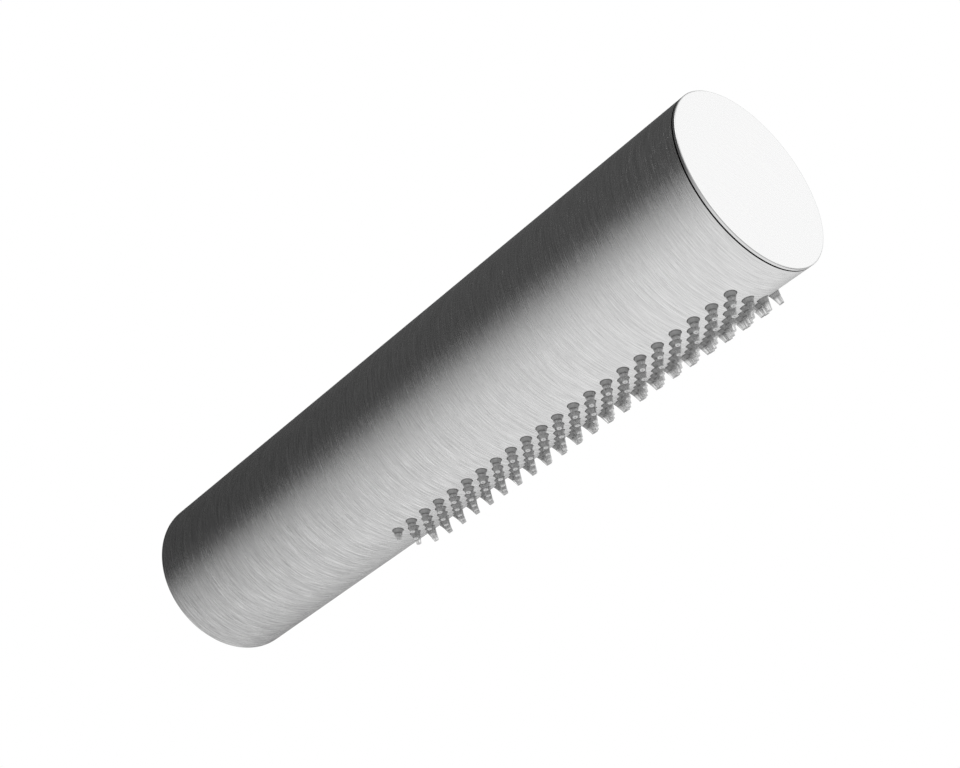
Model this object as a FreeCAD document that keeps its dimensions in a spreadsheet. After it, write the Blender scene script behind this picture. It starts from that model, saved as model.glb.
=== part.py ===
import FreeCAD, Part
import math
import os

import Sketcher

# A wall shower head: a horizontal steel tube that stands out from the wall, with a field of
# soft nozzles on its underside and a water chamber inside it.
# The origin is the centre of the tube's end on the wall. The tube runs towards -Y, +Y points
# into the wall and +Z is up. A reach is a distance from the wall along the tube.

SIZES = [
    ("tube_radius", 30.0, "outside radius of the casing tube"),
    ("tube_wall", 1.2, "wall of the casing tube"),
    ("tube_length", 266.7, "casing tube, from the wall to its free end"),
    ("shadow_gap", 0.4, "open groove between the tube and the rim of the end cap"),
    ("shadow_depth", 0.8, "how far that groove goes in"),
    ("cap_rim", 0.9, "thickness of the end cap's rim"),
    ("cap_edge", 0.15, "chamfer round the end cap's face"),
    ("sliding_fit", 0.15, "radial room of a piece that slides into the tube"),
    ("cap_spigot", 2.6, "length of the end cap's guiding spigot"),
    ("cap_nose_step", 2.4, "from the tube's bore in to the nose that carries the cap's seal"),
    ("cap_nose", 2.8, "length of that nose"),
    ("seal_width", 2.2, "width of the end cap's seal along the tube"),
    ("seal_room", 0.1, "room above and below a seal at rest"),
    ("stud_radius", 4.0, "radius of the end cap's screw stud"),
    ("stud_length", 10.0, "how far the stud screws into the chamber"),
    ("thread_room", 0.05, "radial room of a screw in its hole"),
    ("line_step", 7.28, "angle from one nozzle line to the next, in degrees"),
    ("line_count", 7, "nozzle lines round the underside"),
    ("nozzle_pitch", 7.26, "from nozzle to nozzle along a line"),
    ("long_line_count", 22, "nozzles in each of the longer lines"),
    ("field_margin", 15.1, "from the tube's free end to the first nozzle"),
    ("hole_flat", 3.6, "width of a nozzle hole in the tube"),
    ("nozzle_room", 0.05, "room between a nozzle and its hole, at the foot"),
    ("nozzle_tip_flat", 1.75, "width of a nozzle at its tip"),
    ("nozzle_height", 4.3, "how far a nozzle stands out of the tube"),
    ("mat_thickness", 1.5, "thickness of the nozzle mat"),
    ("mat_margin", 5.0, "mat beyond the first and last nozzle"),
    ("casing_room", 0.3, "room between the chamber and the tube"),
    ("chamber_floor", 2.5, "floor of the water chamber"),
    ("chamber_top", 10.0, "height of the chamber's rim above the tube's axis"),
    ("cavity_half_width", 19.5, "half the width of the water space"),
    ("cavity_margin", 3.0, "water space beyond the first and last nozzle"),
    ("end_wall", 5.0, "end walls of the chamber"),
    ("slot_width", 1.8, "feed slots in the chamber's floor"),
    ("slot_margin", 1.0, "feed slots beyond the first and last nozzle"),
    ("slot_bridge", 4.0, "bridge between two feed slots of a line"),
    ("slot_count", 2, "feed slots in each line"),
    ("stud_boss_radius", 7.0, "boss for the stud inside the water space"),
    ("stud_boss_floor", 2.0, "closed end of that boss"),
    ("lid_thickness", 3.0, "lid welded on the chamber"),
    ("lid_tongue", 2.0, "tongue of the lid inside the water space"),
    ("lid_room", 0.2, "room round that tongue and at the lid's ends"),
    ("saddle_half_width", 15.0, "half the width of a support saddle"),
    ("saddle_length", 16.0, "support saddle along the tube"),
    ("saddle_inset", 14.0, "from the lid's ends to the outer saddles"),
    ("saddle_leg", 5.0, "side walls of a saddle"),
    ("saddle_foot", 3.0, "foot of a saddle on the lid"),
    ("saddle_crown", 3.0, "crown of a saddle at its window's corners"),
    ("saddle_count", 3, "support saddles"),
    ("boss_radius", 12.5, "inlet boss of the chamber"),
    ("boss_length", 14.0, "length of that boss"),
    ("pipe_radius", 9.0, "inlet nipple where it enters the boss's pocket"),
    ("pocket_room", 0.3, "radial room of the nipple in that pocket"),
    ("pipe_engagement", 4.0, "how far the nipple's full radius enters the pocket"),
    ("nipple_nose_step", 1.6, "from the nipple's side in to its nose, which carries its seal"),
    ("nipple_nose", 4.0, "length of that nose"),
    ("nipple_bore", 6.0, "water way through the nipple and the chamber's wall"),
    ("inlet_seal_width", 2.4, "width of the nipple's seal"),
    ("filter_thickness", 1.0, "filter disc"),
    ("regulator_thickness", 5.0, "flow regulator"),
    ("regulator_bore", 3.0, "opening of the flow regulator"),
    ("regulator_seal_width", 2.0, "seal under the regulator"),
    ("thread_radius", 10.478, "half inch pipe thread, over its crests"),
    ("thread_into_wall", 16.0, "how far the nipple goes into the wall fitting"),
    ("shank_radius", 10.3, "nipple through the flange and the lock nut"),
    ("shank_run", 8.0, "nipple's shank beyond the lock nut"),
    ("gasket_thickness", 1.0, "foam ring between the flange and the wall"),
    ("gasket_width", 3.6, "radial width of that ring"),
    ("flange_thickness", 10.0, "wall flange"),
    ("flange_chamfer", 1.0, "lead-in chamfer of the flange"),
    ("wall_hole_radius", 2.3, "holes for the wall screws"),
    ("wall_hole_circle", 21.5, "radius of the circle of those holes"),
    ("wall_hole_count", 3, "wall screw holes"),
    ("wall_hole_turn", 45.0, "angle of the first wall screw hole"),
    ("washer_thickness", 1.5, "washer under the lock nut"),
    ("washer_radius", 15.0, "outside radius of that washer"),
    ("nut_flat", 27.0, "lock nut across its flats"),
    ("nut_thickness", 6.0, "lock nut"),
    ("grub_radius", 2.0, "grub screws that hold the tube on the flange"),
    ("grub_length", 7.0, "length of a grub screw"),
    ("grub_socket", 2.0, "hexagon socket across its flats"),
    ("grub_recess", 0.3, "grub screw's head below the tube's surface"),
]

doc = FreeCAD.newDocument("wall_shower_head")
sheet = doc.addObject("Spreadsheet::Sheet", "Sizes")
for row, (alias, value, meaning) in enumerate(SIZES, start=1):
    sheet.set("A%d" % row, alias)
    sheet.set("B%d" % row, str(value))
    sheet.set("C%d" % row, meaning)
    sheet.setAlias("B%d" % row, alias)
doc.recompute()


class Size:
    """A dimension as the text of an expression and as its present number."""

    def __init__(self, text, number):
        self.text = text
        self.number = number

    def join(self, sign, other, number, swap=False):
        first, second = (other, self) if swap else (self, other)
        return Size("(%s %s %s)" % (first.text, sign, second.text), number)

    def __add__(self, other):
        other = size(other)
        return self.join("+", other, self.number + other.number)

    def __sub__(self, other):
        other = size(other)
        return self.join("-", other, self.number - other.number)

    def __rsub__(self, other):
        other = size(other)
        return self.join("-", other, other.number - self.number, swap=True)

    def __mul__(self, other):
        other = size(other)
        return self.join("*", other, self.number * other.number)

    def __truediv__(self, other):
        other = size(other)
        return self.join("/", other, self.number / other.number)

    def __neg__(self):
        return Size("(-%s)" % self.text, -self.number)

    __radd__ = __add__
    __rmul__ = __mul__


def size(value):
    """The named size of the sheet, or a plain number, as a Size."""
    if isinstance(value, Size):
        return value
    if isinstance(value, str):
        return Size("Sizes.%s" % value, float(sheet.get(value)))
    return Size("%.6g" % value, float(value))


def sine(angle):
    angle = size(angle)
    return Size("sin(%s)" % angle.text, math.sin(math.radians(angle.number)))


def cosine(angle):
    angle = size(angle)
    return Size("cos(%s)" % angle.text, math.cos(math.radians(angle.number)))


def tangent(angle):
    angle = size(angle)
    return Size("tan(%s)" % angle.text, math.tan(math.radians(angle.number)))


def other_leg(hypotenuse, leg):
    """The other short side of a right-angled triangle."""
    number = math.sqrt(hypotenuse.number ** 2 - leg.number ** 2)
    return Size("sqrt(%s ^ 2 - %s ^ 2)" % (hypotenuse.text, leg.text), number)


def bind(thing, prop, value):
    """Ties a property of a document object to a size."""
    thing.setExpression(prop, size(value).text)


# Places and radii that several pieces share.
TUBE_RADIUS = size("tube_radius")
BORE_RADIUS = TUBE_RADIUS - size("tube_wall")
TUBE_LENGTH = size("tube_length")
STEP = size("line_step")
PITCH = size("nozzle_pitch")
LONG_COUNT = size("long_line_count")
LINE_COUNT = int(float(sheet.get("line_count")))
HALF_LINES = (LINE_COUNT - 1) // 2
FIELD_LENGTH = PITCH * (LONG_COUNT - 1)
FIELD_END = TUBE_LENGTH - size("field_margin")
FIELD_START = FIELD_END - FIELD_LENGTH
CAVITY_START = FIELD_START - size("cavity_margin")
CAVITY_END = FIELD_END + size("cavity_margin")
CHAMBER_START = CAVITY_START - size("end_wall")
CHAMBER_END = CAVITY_END + size("end_wall")
CHAMBER_RADIUS = BORE_RADIUS - size("casing_room")
MAT_INSIDE = BORE_RADIUS - size("mat_thickness")
LID_TOP = size("chamber_top") + size("lid_thickness")
CAP_NOSE_RADIUS = BORE_RADIUS - size("cap_nose_step")
POCKET_RADIUS = size("pipe_radius") + size("pocket_room")
NIPPLE_NOSE_RADIUS = size("pipe_radius") - size("nipple_nose_step")
BOSS_START = CHAMBER_START - size("boss_length")
NOSE_START = BOSS_START + size("pipe_engagement")
NOSE_END = NOSE_START + size("nipple_nose")
FILTER_END = NOSE_END + size("filter_thickness")
REGULATOR_END = FILTER_END + size("regulator_thickness")
POCKET_END = REGULATOR_END + size("regulator_seal_width")
FLANGE_END = size("gasket_thickness") + size("flange_thickness")
WASHER_END = FLANGE_END + size("washer_thickness")
NUT_END = WASHER_END + size("nut_thickness")
SHANK_END = NUT_END + size("shank_run")
GRUB_REACH = size("gasket_thickness") + size("flange_thickness") / 2
GRUB_TOP = TUBE_RADIUS - size("grub_recess")

pieces = []


def keep(thing, label):
    """Names a finished piece; its label is its file's name."""
    thing.Label = label
    pieces.append(thing)


def new_body(label):
    body = doc.addObject("PartDesign::Body", label)
    keep(body, label)
    return body


def datum(body, role):
    """One of the body's own origin planes or axes."""
    return [item for item in body.Origin.OriginFeatures if item.Role == role][0]


def new_sketch(body, name, plane, reach=None):
    """A sketch on an origin plane; a cross-section lies at its reach from the wall."""
    sketch = body.newObject("Sketcher::SketchObject", name)
    sketch.AttachmentSupport = (datum(body, plane), [""])
    sketch.MapMode = "FlatFace"
    if reach is not None:
        sketch.AttachmentOffset = FreeCAD.Placement(
            FreeCAD.Vector(0, 0, size(reach).number), FreeCAD.Rotation())
        bind(sketch, "AttachmentOffset.Base.z", reach)
    return sketch


def tangent_sketch(body, name, angle, distance, reach):
    """A sketch square to a radius of the underside, angle degrees from straight down."""
    sketch = body.newObject("Sketcher::SketchObject", name)
    sketch.AttachmentSupport = (datum(body, "XY_Plane"), [""])
    sketch.MapMode = "FlatFace"
    across = distance * sine(angle)
    height = -(distance * cosine(angle))
    turn = FreeCAD.Rotation(FreeCAD.Vector(0, 1, 0), -angle.number)
    spot = FreeCAD.Vector(across.number, -reach.number, height.number)
    sketch.AttachmentOffset = FreeCAD.Placement(spot, turn)
    bind(sketch, "AttachmentOffset.Base.x", across)
    bind(sketch, "AttachmentOffset.Base.y", -reach)
    bind(sketch, "AttachmentOffset.Base.z", height)
    if angle.number:
        bind(sketch, "AttachmentOffset.Rotation.Angle", -angle)
    return sketch


def outline(sketch, corners, arcs=None):
    """A closed outline through the corners, each placed by its two distances.

    An edge in arcs bends about the sketch's origin, counter-clockwise. Its far corner then
    needs only the distance that arcs names for it.
    """
    arcs = arcs or {}
    count = len(corners)
    first = sketch.GeometryCount
    spots = [FreeCAD.Vector(size(x).number, size(y).number, 0) for x, y in corners]
    for index, spot in enumerate(spots):
        after = spots[(index + 1) % count]
        if index in arcs:
            circle = Part.Circle(FreeCAD.Vector(), FreeCAD.Vector(0, 0, 1), spot.Length)
            start = math.atan2(spot.y, spot.x)
            sweep = (math.atan2(after.y, after.x) - start) % (2 * math.pi)
            sketch.addGeometry(Part.ArcOfCircle(circle, start, start + sweep))
        else:
            sketch.addGeometry(Part.LineSegment(spot, after))
    for index in range(count):
        after = (index + 1) % count
        sketch.addConstraint(
            Sketcher.Constraint("Coincident", first + index, 2, first + after, 1))
        if index in arcs:
            sketch.addConstraint(Sketcher.Constraint("Coincident", first + index, 3, -1, 1))
    for index, (x, y) in enumerate(corners):
        wanted = arcs.get((index - 1) % count, "xy")
        for letter, kind, distance in (("x", "DistanceX", x), ("y", "DistanceY", y)):
            if letter in wanted:
                number = sketch.addConstraint(Sketcher.Constraint(
                    kind, -1, 1, first + index, 1, size(distance).number))
                bind(sketch, "Constraints[%d]" % number, distance)


def circle(sketch, radius, x=0, y=0):
    """A circle placed by the distances of its centre."""
    centre = FreeCAD.Vector(size(x).number, size(y).number, 0)
    index = sketch.addGeometry(
        Part.Circle(centre, FreeCAD.Vector(0, 0, 1), size(radius).number))
    number = sketch.addConstraint(Sketcher.Constraint("Radius", index, size(radius).number))
    bind(sketch, "Constraints[%d]" % number, radius)
    if not centre.Length:
        sketch.addConstraint(Sketcher.Constraint("Coincident", index, 3, -1, 1))
        return
    for kind, distance in (("DistanceX", x), ("DistanceY", y)):
        number = sketch.addConstraint(
            Sketcher.Constraint(kind, -1, 1, index, 3, size(distance).number))
        bind(sketch, "Constraints[%d]" % number, distance)


def rectangle(sketch, half_width, low, high):
    outline(sketch, [(-half_width, low), (half_width, low), (half_width, high), (-half_width, high)])


def hexagon(sketch, flat):
    """A hexagon whose corners lie along the tube and whose flats face round it."""
    side = size(flat) / 2
    half_edge = side * tangent(30)
    point = half_edge * 2
    outline(sketch, [(side, -half_edge), (side, half_edge), (0, point),
                     (-side, half_edge), (-side, -half_edge), (0, -point)])


def pad(body, name, sketch, length, outward=False):
    """A pad towards the free end, or away from the tube's axis."""
    feature = body.newObject("PartDesign::Pad", name)
    feature.Profile = sketch
    feature.Reversed = outward
    bind(feature, "Length", length)
    return feature


def pocket(body, name, sketch, length, backward=False):
    """A pocket towards the free end or away from the axis, or the other way."""
    feature = body.newObject("PartDesign::Pocket", name)
    feature.Profile = sketch
    feature.Reversed = not backward
    bind(feature, "Length", length)
    return feature


def turned(label, corners):
    """A piece turned about the tube's axis, from corners as radius and reach."""
    body = new_body(label)
    sketch = new_sketch(body, label + "_profile", "XY_Plane")
    outline(sketch, [(radius, -size(reach)) for radius, reach in corners])
    feature = body.newObject("PartDesign::Revolution", label + "_turning")
    feature.Profile = sketch
    feature.ReferenceAxis = (datum(body, "Y_Axis"), [""])
    feature.Angle = 360
    return body


def ring(label, inside, outside, start, end):
    """A flat-sided ring round the tube's axis."""
    return turned(label, [(inside, start), (outside, start), (outside, end), (inside, end)])


def land_corners(radius):
    """Corners of the flat lands of the underside, one land to a nozzle line.

    They stand on a circle about the axis, half a step to each side of every line, from the
    -X side to the +X side.
    """
    corners = []
    for index in range(LINE_COUNT + 1):
        angle = STEP * (index - LINE_COUNT / 2)
        corners.append((radius * sine(angle), -(radius * cosine(angle))))
    return corners


def repeat(body, name, feature, run, count, lines):
    """Repeats a cut along the tube, and then round it from line to line.

    The cut stands on the last of its lines, on the +X side, nearest to the free end. The run
    is the distance from the first copy to the last. The lines are numbered from the lowest
    one, which is 0, and grow towards +X.
    """
    doc.recompute()
    grid = body.newObject("PartDesign::MultiTransform", name + "_grid")
    grid.Originals = [feature]
    along = body.newObject("PartDesign::LinearPattern", name + "_along")
    along.Direction = (datum(body, "Y_Axis"), [""])
    bind(along, "Length", run)
    bind(along, "Occurrences", count)
    around = body.newObject("PartDesign::PolarPattern", name + "_around")
    around.Axis = (datum(body, "Y_Axis"), [""])
    around.Occurrences = len(lines)
    bind(around, "Angle", STEP * (lines[-1] - lines[0]))
    grid.Transformations = [along, around]
    body.Tip = grid
    doc.recompute()


def punch_holes(body):
    """A six-sided hole for every nozzle.

    Every second line from the outermost is a long one. The lines between them stand half a
    pitch off and have one nozzle less.
    """
    depth = size("tube_wall") * 2 + size("mat_thickness")
    for kind, outermost, count, inset in (
            ("long", HALF_LINES, LONG_COUNT, size(0)),
            ("short", HALF_LINES - 1, LONG_COUNT - 1, PITCH / 2)):
        sketch = tangent_sketch(body, kind + "_line_hole_outline", STEP * outermost,
                                MAT_INSIDE, FIELD_END - inset)
        hexagon(sketch, "hole_flat")
        hole = pocket(body, kind + "_line_hole", sketch, depth, backward=True)
        repeat(body, kind + "_line_holes", hole, PITCH * (count - 1), count,
               range(-outermost, outermost + 1, 2))


def casing_tube():
    """Tube with a narrow flat land under each nozzle line, where the holes are punched."""
    body = new_body("casing_tube")
    section = new_sketch(body, "tube_section", "XZ_Plane", 0)
    outer = land_corners(TUBE_RADIUS)
    inner = land_corners(BORE_RADIUS)
    outline(section, outer, {LINE_COUNT: "x"})
    outline(section, inner, {LINE_COUNT: "x"})
    pad(body, "tube", section, TUBE_LENGTH)
    punch_holes(body)
    for name, plane, centre in (("upper", "XY_Plane", (0, -GRUB_REACH)),
                                ("side", "YZ_Plane", (-GRUB_REACH, 0))):
        sketch = new_sketch(body, name + "_grub_outline", plane)
        circle(sketch, size("grub_radius") + size("thread_room"), *centre)
        pocket(body, name + "_grub_hole", sketch, TUBE_RADIUS + size("tube_wall"))


def frustum(base_flat, tip_flat, length):
    """A six-sided cone that points down from the origin, its corners along the tube.

    It is made of flat faces, with a tight tolerance so that it fuses cleanly with the mat.
    """
    sides = 6
    tolerance = 1e-7
    turns = [math.pi / 2 + 2 * math.pi * side / sides for side in range(sides)]
    rings = []
    for flat, height in ((base_flat, 0), (tip_flat, -length)):
        radius = flat / 2 / math.cos(math.pi / sides)
        rings.append([FreeCAD.Vector(radius * math.cos(turn), radius * math.sin(turn), height)
                      for turn in turns])
    base, tip = rings
    walls = [base, tip]
    for side in range(sides):
        after = (side + 1) % sides
        walls.append([base[side], base[after], tip[after], tip[side]])
    faces = [Part.Face(Part.makePolygon(wall + wall[:1])) for wall in walls]
    solid = Part.Solid(Part.makeShell(faces))
    solid.fixTolerance(tolerance)
    return solid if solid.Volume > 0 else solid.reversed()


def nozzle_mat():
    """One soft moulding: a mat on the lands of the bore, with a nozzle through every hole.

    The mat is padded from a section that follows the lands. Its nozzles are placed line by
    line, turned with their line and half a pitch off on every second one, and fused to it.
    """
    blank = doc.addObject("PartDesign::Body", "mat_blank")
    start = FIELD_START - size("mat_margin")
    section = new_sketch(blank, "mat_section", "XZ_Plane", start)
    outline(section, land_corners(BORE_RADIUS) + land_corners(MAT_INSIDE)[::-1])
    pad(blank, "mat", section, FIELD_LENGTH + size("mat_margin") * 2)

    land = (BORE_RADIUS * cosine(STEP / 2)).number
    length = (size("tube_wall") * cosine(STEP / 2) + size("nozzle_height")).number
    foot_flat = (size("hole_flat") - size("nozzle_room") * 2).number
    cone = frustum(foot_flat, size("nozzle_tip_flat").number, length)
    cones = []
    for line in range(LINE_COUNT):
        angle = STEP.number * (HALF_LINES - line)
        short = line % 2
        turn = FreeCAD.Rotation(FreeCAD.Vector(0, 1, 0), -angle)
        foot = turn.multVec(FreeCAD.Vector(0, 0, -land))
        for index in range(int(LONG_COUNT.number) - short):
            reach = FIELD_END.number - PITCH.number * (index + short / 2)
            nozzle = cone.copy()
            nozzle.Placement = FreeCAD.Placement(foot - FreeCAD.Vector(0, reach, 0), turn)
            cones.append(nozzle)
    field = doc.addObject("Part::Feature", "nozzle_field")
    field.Shape = Part.makeCompound(cones)
    moulding = doc.addObject("Part::MultiFuse", "nozzle_mat")
    moulding.Shapes = [blank, field]
    keep(moulding, "nozzle_mat")


def end_cap():
    """Thin disc on a shoulder that keeps it off the tube, with a spigot, a nose and a stud."""
    shoulder = TUBE_LENGTH + size("shadow_gap")
    face = shoulder + size("cap_rim")
    spigot = BORE_RADIUS - size("sliding_fit")
    spigot_end = TUBE_LENGTH - size("cap_spigot")
    nose_end = spigot_end - size("cap_nose")
    shoulder_radius = TUBE_RADIUS - size("shadow_depth")
    turned("end_cap", [
        (0, CHAMBER_END - size("stud_length")),
        ("stud_radius", CHAMBER_END - size("stud_length")),
        ("stud_radius", nose_end),
        (CAP_NOSE_RADIUS, nose_end),
        (CAP_NOSE_RADIUS, spigot_end),
        (spigot, spigot_end),
        (spigot, TUBE_LENGTH),
        (shoulder_radius, TUBE_LENGTH),
        (shoulder_radius, shoulder),
        (TUBE_RADIUS, shoulder),
        (TUBE_RADIUS, face - size("cap_edge")),
        (TUBE_RADIUS - size("cap_edge"), face),
        (0, face)])
    seal_start = nose_end + (size("cap_nose") - size("seal_width")) / 2
    ring("end_cap_seal", CAP_NOSE_RADIUS + size("seal_room"),
         BORE_RADIUS - size("seal_room"), seal_start, seal_start + size("seal_width"))


def water_chamber():
    """Moulded trough behind the mat, with a feed slot over each nozzle line."""
    body = new_body("water_chamber")
    top = size("chamber_top")
    rim = other_leg(CHAMBER_RADIUS, top)
    edge = STEP * (LINE_COUNT / 2)
    step_across = CHAMBER_RADIUS * sine(edge)
    step_height = -(CHAMBER_RADIUS * cosine(edge))
    lands = land_corners(MAT_INSIDE)
    section = new_sketch(body, "chamber_section", "XZ_Plane", CHAMBER_START)
    outline(section, lands + [(step_across, step_height), (rim, top), (-rim, top),
                              (-step_across, step_height)],
            {len(lands): "y", len(lands) + 2: "x"})
    pad(body, "trough", section, CHAMBER_END - CHAMBER_START)

    half = size("cavity_half_width")
    floor_radius = MAT_INSIDE - size("chamber_floor")
    depth = -other_leg(floor_radius, half)
    space = new_sketch(body, "water_space_section", "XZ_Plane", CAVITY_START)
    above = top + size("lid_thickness")
    outline(space, [(-half, depth), (half, depth), (half, above), (-half, above)], {0: "x"})
    pocket(body, "water_space", space, CAVITY_END - CAVITY_START)

    boss = new_sketch(body, "inlet_boss_outline", "XZ_Plane", BOSS_START)
    circle(boss, "boss_radius")
    pad(body, "inlet_boss", boss, "boss_length")
    seat = new_sketch(body, "regulator_pocket_outline", "XZ_Plane", BOSS_START)
    circle(seat, POCKET_RADIUS)
    pocket(body, "regulator_pocket", seat, POCKET_END - BOSS_START)
    way = new_sketch(body, "water_way_outline", "XZ_Plane", BOSS_START)
    circle(way, "nipple_bore")
    pocket(body, "water_way", way, CAVITY_START - BOSS_START + size("cavity_margin"))

    stud_depth = size("stud_length") + size("stud_boss_floor")
    boss = new_sketch(body, "stud_boss_outline", "XZ_Plane", CHAMBER_END - stud_depth)
    circle(boss, "stud_boss_radius")
    pad(body, "stud_boss", boss, stud_depth - size("end_wall"))
    hole = new_sketch(body, "stud_hole_outline", "XZ_Plane", CHAMBER_END)
    circle(hole, size("stud_radius") + size("thread_room"))
    pocket(body, "stud_hole", hole, size("stud_length") + size("thread_room"), backward=True)

    run = FIELD_LENGTH + size("slot_margin") * 2
    count = size("slot_count")
    slot = (run + size("slot_bridge")) / count - size("slot_bridge")
    reach = FIELD_END + size("slot_margin")
    inside_floor = floor_radius - size("chamber_floor") / 2
    sketch = tangent_sketch(body, "slot_outline", STEP * HALF_LINES, inside_floor, reach)
    rectangle(sketch, size("slot_width") / 2, size(0), slot)
    feature = pocket(body, "slot", sketch, size("chamber_floor") * 2, backward=True)
    repeat(body, "slots", feature, (slot + size("slot_bridge")) * (count - 1), count,
           range(-HALF_LINES, HALF_LINES + 1))


def chamber_lid():
    """Flat lid with a tongue that drops into the water space."""
    body = new_body("chamber_lid")
    top = size("chamber_top")
    room = size("lid_room")
    plate = new_sketch(body, "lid_section", "XZ_Plane", CHAMBER_START + room)
    rectangle(plate, other_leg(CHAMBER_RADIUS, LID_TOP), top, LID_TOP)
    pad(body, "lid_plate", plate, CHAMBER_END - CHAMBER_START - room * 2)
    tongue = new_sketch(body, "tongue_section", "XZ_Plane", CAVITY_START + room)
    rectangle(tongue, size("cavity_half_width") - room, top - size("lid_tongue"), top)
    pad(body, "lid_tongue_plate", tongue, CAVITY_END - CAVITY_START - room * 2)


def support_saddles():
    """Moulded saddles between the lid and the top of the bore, which hold the chamber down.

    There are two or more, evenly spaced from the rear one to the front one.
    """
    count = int(float(sheet.get("saddle_count")))
    middle = ["middle_saddle_%d" % number for number in range(1, count - 1)]
    if len(middle) == 1:
        middle = ["middle_saddle"]
    names = ["rear_saddle"] + middle + ["front_saddle"]
    first = CHAMBER_START + size("saddle_inset")
    last = CHAMBER_END - size("saddle_inset") - size("saddle_length")
    half = size("saddle_half_width")
    shoulder = other_leg(CHAMBER_RADIUS, half)
    for index, name in enumerate(names):
        body = new_body(name)
        start = first + (last - first) * index / (count - 1)
        section = new_sketch(body, name + "_section", "XZ_Plane", start)
        outline(section, [(-half, LID_TOP), (half, LID_TOP), (half, shoulder), (-half, shoulder)],
                {2: "x"})
        rectangle(section, half - size("saddle_leg"), LID_TOP + size("saddle_foot"),
                  shoulder - size("saddle_crown"))
        pad(body, name + "_block", section, "saddle_length")


def inlet():
    """Nipple from the wall fitting to the chamber, with what is held in its pocket."""
    wall_end = -size("thread_into_wall")
    turned("inlet_nipple", [
        ("nipple_bore", wall_end),
        ("thread_radius", wall_end),
        ("thread_radius", 0),
        ("shank_radius", 0),
        ("shank_radius", SHANK_END),
        ("pipe_radius", SHANK_END),
        ("pipe_radius", NOSE_START),
        (NIPPLE_NOSE_RADIUS, NOSE_START),
        (NIPPLE_NOSE_RADIUS, NOSE_END),
        ("nipple_bore", NOSE_END)])
    held_radius = POCKET_RADIUS - size("seal_room")
    seal_start = NOSE_START + (size("nipple_nose") - size("inlet_seal_width")) / 2
    ring("inlet_seal", NIPPLE_NOSE_RADIUS + size("seal_room"), held_radius,
         seal_start, seal_start + size("inlet_seal_width"))
    turned("filter_screen", [(0, NOSE_END), (held_radius, NOSE_END),
                             (held_radius, FILTER_END), (0, FILTER_END)])
    ring("flow_regulator", size("regulator_bore"), held_radius, FILTER_END, REGULATOR_END)
    ring("regulator_seal", size("nipple_bore") + size("seal_room"), held_radius,
         REGULATOR_END, POCKET_END)


def wall_flange():
    """Turned flange that carries the tube, bored for the nipple and the wall screws."""
    outside = BORE_RADIUS - size("sliding_fit")
    bore = size("shank_radius") + size("thread_room")
    start = size("gasket_thickness")
    body = turned("wall_flange", [
        (bore, start),
        (outside, start),
        (outside, FLANGE_END - size("flange_chamfer")),
        (outside - size("flange_chamfer"), FLANGE_END),
        (bore, FLANGE_END)])
    across = size("wall_hole_circle") * cosine("wall_hole_turn")
    height = size("wall_hole_circle") * sine("wall_hole_turn")
    sketch = new_sketch(body, "wall_hole_outline", "XZ_Plane", start)
    circle(sketch, "wall_hole_radius", across, height)
    feature = pocket(body, "wall_hole", sketch, "flange_thickness")
    doc.recompute()
    holes = body.newObject("PartDesign::PolarPattern", "wall_holes")
    holes.Originals = [feature]
    holes.Axis = (datum(body, "Y_Axis"), [""])
    holes.Angle = 360
    bind(holes, "Occurrences", "wall_hole_count")
    body.Tip = holes
    depth = GRUB_TOP - size("grub_length")
    for name, plane, centre in (("upper", "XY_Plane", (0, -GRUB_REACH)),
                                ("side", "YZ_Plane", (-GRUB_REACH, 0))):
        sketch = new_sketch(body, "flange_%s_grub_outline" % name, plane, depth)
        circle(sketch, size("grub_radius") + size("thread_room"), *centre)
        pocket(body, "flange_%s_grub_hole" % name, sketch, TUBE_RADIUS)
    edge = outside - size("sliding_fit")
    ring("wall_gasket", edge - size("gasket_width"), edge, 0, start)


def lock_nut():
    """Hexagon nut and washer that draw the flange against the wall."""
    bore = size("shank_radius") + size("thread_room")
    ring("nut_washer", bore, size("washer_radius"), FLANGE_END, WASHER_END)
    body = new_body("lock_nut")
    sketch = new_sketch(body, "nut_section", "XZ_Plane", WASHER_END)
    hexagon(sketch, "nut_flat")
    circle(sketch, bore)
    pad(body, "nut", sketch, "nut_thickness")


def set_screws():
    """Two grub screws with hexagon sockets, from above and from the +X side."""
    screws = []
    base = GRUB_TOP - size("grub_length")
    for name, turn in (("upper", FreeCAD.Rotation()),
                       ("side", FreeCAD.Rotation(FreeCAD.Vector(0, 1, 0), 90))):
        shank = doc.addObject("Part::Cylinder", name + "_grub_shank")
        bind(shank, "Radius", "grub_radius")
        bind(shank, "Height", "grub_length")
        socket = doc.addObject("Part::Prism", name + "_grub_socket")
        socket.Polygon = 6
        bind(socket, "Circumradius", size("grub_socket") / 2 / cosine(30))
        bind(socket, "Height", "grub_length")
        direction = turn.multVec(FreeCAD.Vector(0, 0, 1))
        for thing, height in ((shank, base), (socket, GRUB_TOP - size("grub_socket"))):
            thing.Placement = FreeCAD.Placement(FreeCAD.Vector(), turn)
            bind(thing, "Placement.Base.x", height * round(direction.x))
            bind(thing, "Placement.Base.y", -GRUB_REACH)
            bind(thing, "Placement.Base.z", height * round(direction.z))
        screw = doc.addObject("Part::Cut", name + "_grub_screw")
        screw.Base = shank
        screw.Tool = socket
        screws.append(screw)
    group = doc.addObject("Part::Compound", "set_screws")
    group.Links = screws
    keep(group, "set_screws")


casing_tube()
nozzle_mat()
end_cap()
water_chamber()
chamber_lid()
support_saddles()
inlet()
wall_flange()
lock_nut()
set_screws()
doc.recompute()

for thing in doc.Objects:
    if "Invalid" in thing.State or "Error" in thing.State:
        raise RuntimeError("%s failed: %s" % (thing.Label, thing.State))
for piece in pieces:
    if piece.Shape.isNull() or not piece.Shape.isValid():
        raise RuntimeError("%s has no valid shape" % piece.Label)

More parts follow.
